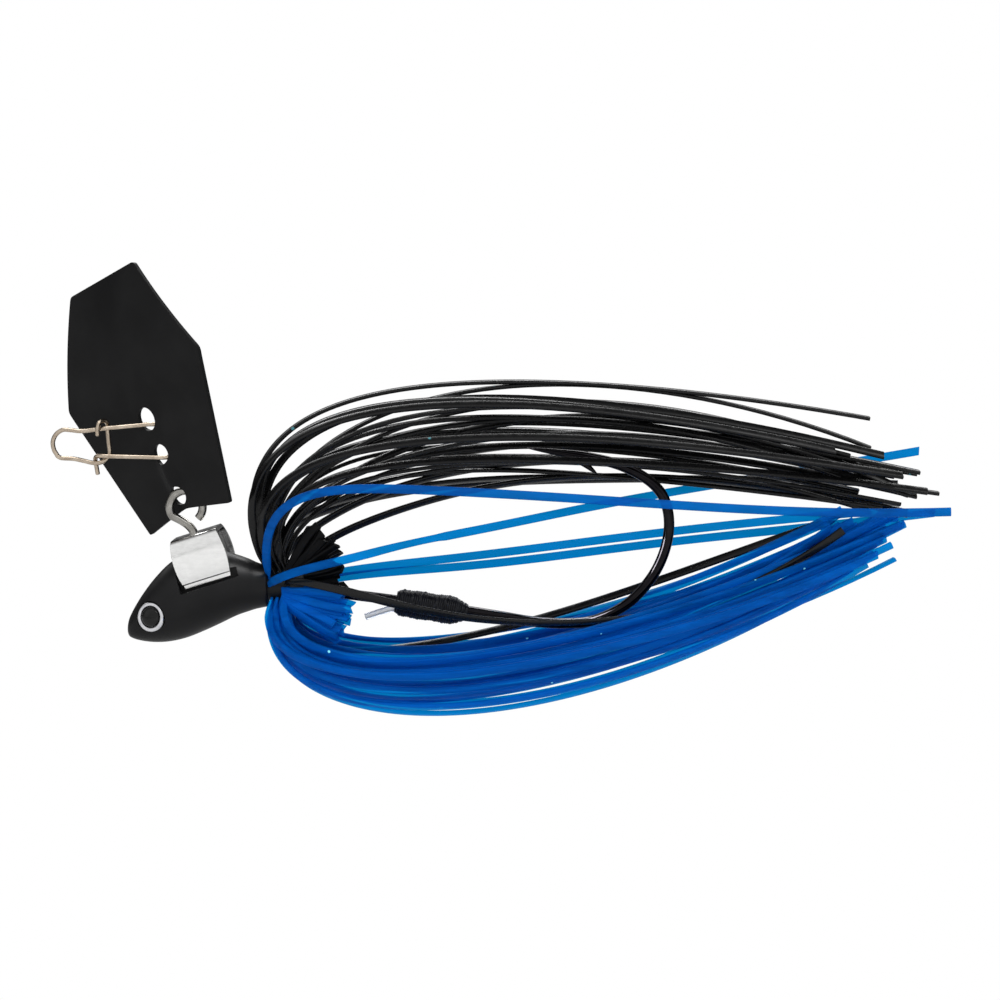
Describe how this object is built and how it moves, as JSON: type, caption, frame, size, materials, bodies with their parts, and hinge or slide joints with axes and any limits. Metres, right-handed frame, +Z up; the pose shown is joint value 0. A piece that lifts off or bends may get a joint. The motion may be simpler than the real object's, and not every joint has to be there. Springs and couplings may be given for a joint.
{
  "type": "bladed swim jig",
  "caption": "Fish-head swim jig with a wobbling hexagonal blade on a wire eye, a line snap, a single hook and a black and blue silicone strand skirt.",
  "frame": {"origin": "middle of the strike saddle's right side face, 3.15 mm to the right of the hook's plane", "axes": "+X to the skirt's tail along the hook shank, +Z up to the hook point's side, +Y to the lure's far (left) side; the hook lies in the XZ plane"},
  "size_m": [0.1037, 0.0253, 0.0528],
  "materials": {
    "head_paint": "satin black paint over lead",
    "saddle_steel": "polished stainless sheet",
    "link_steel": "drawn stainless wire",
    "snap_nickel": "warm nickel wire",
    "blade_coating": "thin satin black coating",
    "hook_black_nickel": "black nickel plating",
    "keeper_thread": "black tying thread, lacquered",
    "keeper_mono": "clear nylon monofilament",
    "collar_rubber": "black rubber band",
    "eye_foil": "silver foil",
    "eye_epoxy": "black under clear epoxy",
    "strand_black": "black silicone, soft sheen, fine flakes",
    "strand_blue": "deep blue silicone, soft sheen, fine flakes"
  },
  "bodies": {
    "jig": {"eye_pupil_left": "eye_epoxy", "eye_pupil_right": "eye_epoxy", "eye_ring_left": "eye_foil", "eye_ring_right": "eye_foil", "head": "head_paint", "hook": "hook_black_nickel", "keeper_mono": "keeper_mono", "keeper_thread": "keeper_thread", "link_wire": "link_steel", "skirt_collar": "collar_rubber", "strike_saddle": "saddle_steel", "stub_fan_black": "strand_black", "stub_fan_blue": "strand_blue"},
    "blade": {"blade": "blade_coating"},
    "snap": {"line_snap": "snap_nickel"},
    "gate_line": {"snap_gate_line": "snap_nickel"},
    "gate_blade": {"snap_gate_blade": "snap_nickel"},
    "skirt_top_far": {"strand_black_top_far_1": "strand_black", "strand_black_top_far_2": "strand_black", "strand_black_top_far_3": "strand_black", "strand_black_top_far_4": "strand_black", "strand_black_top_far_5": "strand_black"},
    "skirt_top": {"strand_black_top_1": "strand_black", "strand_black_top_2": "strand_black", "strand_black_top_3": "strand_black", "strand_black_top_4": "strand_black", "strand_black_top_5": "strand_black"},
    "skirt_top_near": {"strand_black_top_near_1": "strand_black", "strand_black_top_near_2": "strand_black", "strand_black_top_near_3": "strand_black"},
    "skirt_side_near": {"strand_black_side_near_1": "strand_black", "strand_blue_side_near_1": "strand_blue"},
    "skirt_bottom_near": {"strand_blue_bottom_near_1": "strand_blue", "strand_blue_bottom_near_2": "strand_blue", "strand_blue_bottom_near_3": "strand_blue", "strand_blue_bottom_near_4": "strand_blue"},
    "skirt_bottom": {"strand_black_bottom_1": "strand_black", "strand_blue_bottom_1": "strand_blue", "strand_blue_bottom_2": "strand_blue", "strand_blue_bottom_3": "strand_blue", "strand_blue_bottom_4": "strand_blue", "strand_blue_bottom_5": "strand_blue", "strand_blue_bottom_6": "strand_blue", "strand_blue_bottom_7": "strand_blue"},
    "skirt_bottom_far": {"strand_blue_bottom_far_1": "strand_blue", "strand_blue_bottom_far_2": "strand_blue", "strand_blue_bottom_far_3": "strand_blue"},
    "skirt_side_far": {"strand_black_side_far_1": "strand_black", "strand_blue_side_far_1": "strand_blue", "strand_blue_side_far_2": "strand_blue", "strand_blue_side_far_3": "strand_blue"}
  },
  "joints": [
    {"name": "blade_wobble", "type": "hinge", "parent": "jig", "child": "blade", "pos_m": [-0.00298, 0.00315, 0.00719], "axis": [0.384, -0.0419, -0.9224], "range_deg": [0, 96]},
    {"name": "snap_swing", "type": "hinge", "parent": "blade", "child": "snap", "pos_m": [-0.00581, 0.00346, 0.014], "axis": [-0.384, 0.0419, 0.9224], "range_deg": [-4, 102]},
    {"name": "gate_line_squeeze", "type": "hinge", "parent": "snap", "child": "gate_line", "pos_m": [-0.01727, 0.00356, 0.01178], "axis": [-0.0161, -0.9991, 0.0387], "range_deg": [-2.5, 1.2]},
    {"name": "gate_blade_squeeze", "type": "hinge", "parent": "snap", "child": "gate_blade", "pos_m": [-0.00396, 0.00336, 0.01209], "axis": [0.0161, 0.9991, -0.0387], "range_deg": [0, 6]},
    {"name": "flare_top_far", "type": "hinge", "parent": "jig", "child": "skirt_top_far", "pos_m": [0.0079, 0.00449, -0.00205], "axis": [-0.0769, -0.7431, 0.6647], "range_deg": [0, 10]},
    {"name": "flare_top", "type": "hinge", "parent": "jig", "child": "skirt_top", "pos_m": [0.00784, 0.00322, -0.00154], "axis": [-0.004, -0.9994, 0.0347], "range_deg": [0, 10]},
    {"name": "flare_top_near", "type": "hinge", "parent": "jig", "child": "skirt_top_near", "pos_m": [0.00785, 0.00247, -0.00166], "axis": [0.0393, -0.9397, -0.3398], "range_deg": [0, 10]},
    {"name": "flare_side_near", "type": "hinge", "parent": "jig", "child": "skirt_side_near", "pos_m": [0.0079, 0.00181, -0.00205], "axis": [0.0769, -0.7431, -0.6647], "range_deg": [0, 10]},
    {"name": "flare_bottom_near", "type": "hinge", "parent": "jig", "child": "skirt_bottom_near", "pos_m": [0.00823, 0.00174, -0.00493], "axis": [0.0813, 0.7071, -0.7024], "range_deg": [0, 10]},
    {"name": "flare_bottom", "type": "hinge", "parent": "jig", "child": "skirt_bottom", "pos_m": [0.0083, 0.00315, -0.00551], "axis": [0, 1, 0], "range_deg": [0, 10]},
    {"name": "flare_bottom_far", "type": "hinge", "parent": "jig", "child": "skirt_bottom_far", "pos_m": [0.00823, 0.00456, -0.00493], "axis": [-0.0813, 0.7071, 0.7024], "range_deg": [0, 10]},
    {"name": "flare_side_far", "type": "hinge", "parent": "jig", "child": "skirt_side_far", "pos_m": [0.00807, 0.00515, -0.00353], "axis": [-0.1149, 0, 0.9934], "range_deg": [0, 10]}
  ],
  "couplings": [
    {"joint": "flare_top_far", "follows": "flare_top", "ratio": 1},
    {"joint": "flare_top_near", "follows": "flare_top", "ratio": 1},
    {"joint": "flare_side_near", "follows": "flare_top", "ratio": 1},
    {"joint": "flare_bottom_near", "follows": "flare_top", "ratio": 1},
    {"joint": "flare_bottom", "follows": "flare_top", "ratio": 1},
    {"joint": "flare_bottom_far", "follows": "flare_top", "ratio": 1},
    {"joint": "flare_side_far", "follows": "flare_top", "ratio": 1}
  ]
}
